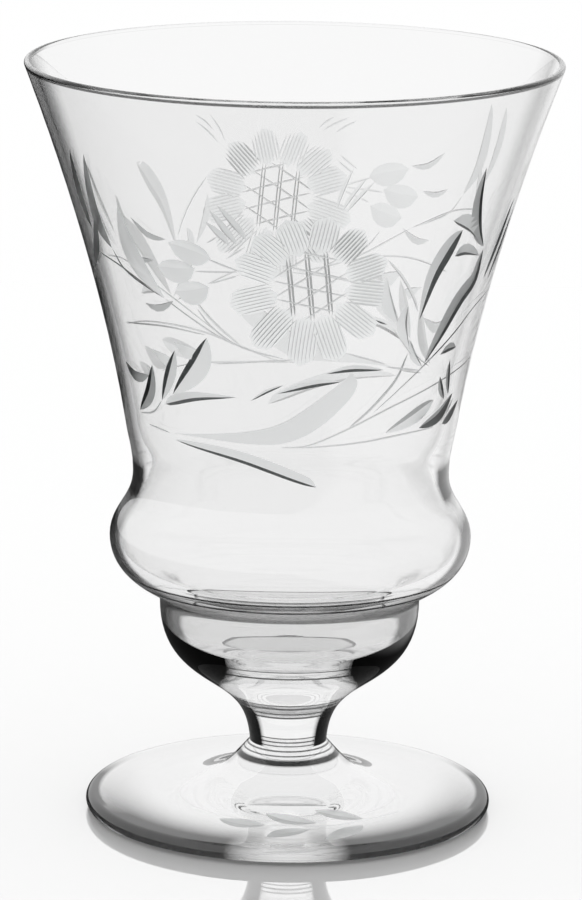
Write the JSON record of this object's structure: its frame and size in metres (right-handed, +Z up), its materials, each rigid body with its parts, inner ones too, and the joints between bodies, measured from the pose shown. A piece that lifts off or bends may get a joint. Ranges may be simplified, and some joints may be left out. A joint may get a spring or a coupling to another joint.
{
  "type": "footed tumbler",
  "caption": "Clear footed drinking glass: flared bowl with pinched waist, rounded bulge and stepped-in cup on a short solid stem and round foot, cut with flowers and leaves.",
  "frame": {"origin": "centre of the foot's resting ring, on the surface that the glass stands on", "axes": "+Z up along the axis of the glass; +Y points away from the side with the two cut flowers, which faces -Y"},
  "size_m": [0.0904, 0.0904, 0.13],
  "materials": {
    "bowl_glass": "fire-polished clear glass with ground wheel-cut flowers and leaves",
    "stem_glass": "fire-polished clear glass",
    "foot_glass": "fire-polished clear glass with a small ground wheel-cut sprig"
  },
  "bodies": {
    "root": {"bowl": "bowl_glass", "stem": "stem_glass", "foot": "foot_glass"}
  },
  "joints": []
}
